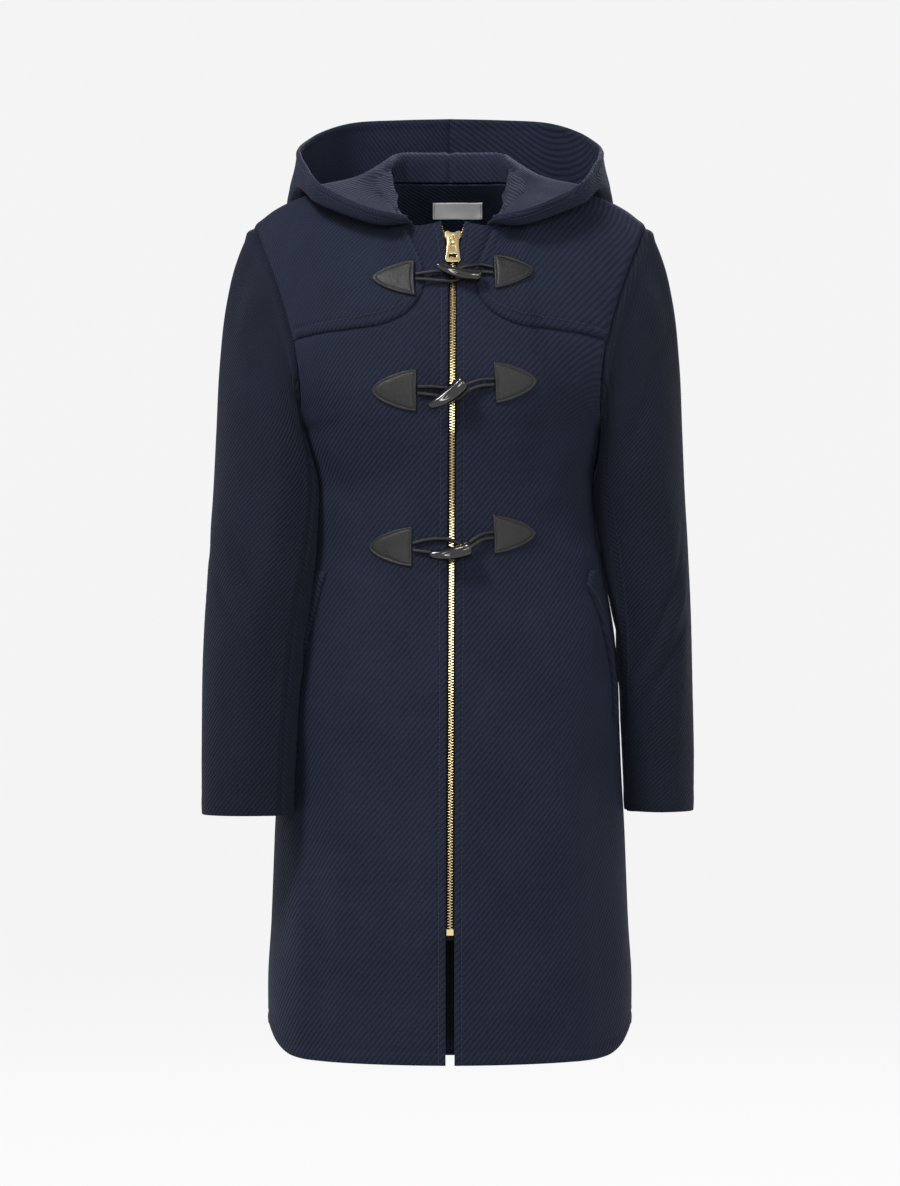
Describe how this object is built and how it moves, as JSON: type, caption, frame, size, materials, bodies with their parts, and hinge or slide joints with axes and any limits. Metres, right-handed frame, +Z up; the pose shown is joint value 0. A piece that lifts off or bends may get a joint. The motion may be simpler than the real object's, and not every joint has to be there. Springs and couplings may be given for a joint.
{
  "type": "duffle coat",
  "caption": "Knee-length hooded duffle coat, filled out as if worn, with a full front zip, toggles on leather tabs and slanted side pockets.",
  "frame": {"origin": "between the shoulders, 20 mm below the neck ends of the shoulder seams", "axes": "+Z up, -Y towards the coat's front, +X to the right as seen from the front"},
  "size_m": [0.5009, 0.3282, 0.9891],
  "materials": {
    "navy_twill": "matt navy wool-blend coating in a diagonal twill, slightly napped",
    "black_lining": "smooth black lining with a soft sheen",
    "white_label": "blank pale woven label",
    "zip_tape": "black woven zip tape",
    "gold_metal": "polished pale gold metal",
    "black_leather": "grained black leather with a grey sheen",
    "black_horn": "polished black horn-look resin"
  },
  "bodies": {
    "coat": {"front_left": "navy_twill", "front_right": "navy_twill", "back": "navy_twill", "yoke_left": "navy_twill", "yoke_right": "navy_twill", "pocket_welt_left": "navy_twill", "pocket_welt_right": "navy_twill", "sleeve_top_left": "navy_twill", "sleeve_top_right": "navy_twill", "sleeve_under_left": "navy_twill", "sleeve_under_right": "navy_twill", "hood_left": "navy_twill", "hood_right": "navy_twill", "back_lining": "black_lining", "label": "white_label", "zip_tape_left": "zip_tape", "zip_tape_right": "zip_tape", "zip_slider": "gold_metal", "zip_bottom_stop": "gold_metal", "toggle_top": "black_horn", "leather_tab_top_left": "black_leather", "cord_top_left": "black_leather", "leather_tab_top_right": "black_leather", "cord_top_right": "black_leather", "toggle_middle": "black_horn", "leather_tab_middle_left": "black_leather", "cord_middle_left": "black_leather", "leather_tab_middle_right": "black_leather", "cord_middle_right": "black_leather", "toggle_bottom": "black_horn", "leather_tab_bottom_left": "black_leather", "cord_bottom_left": "black_leather", "leather_tab_bottom_right": "black_leather", "cord_bottom_right": "black_leather"},
    "zip_pull": {"zip_pull_tab": "gold_metal"}
  },
  "joints": [
    {"name": "pull_tab_hinge", "type": "hinge", "parent": "coat", "child": "zip_pull", "pos_m": [0.00291, -0.09434, -0.04057], "axis": [-1, 0, 0], "range_deg": [0, 170]}
  ]
}
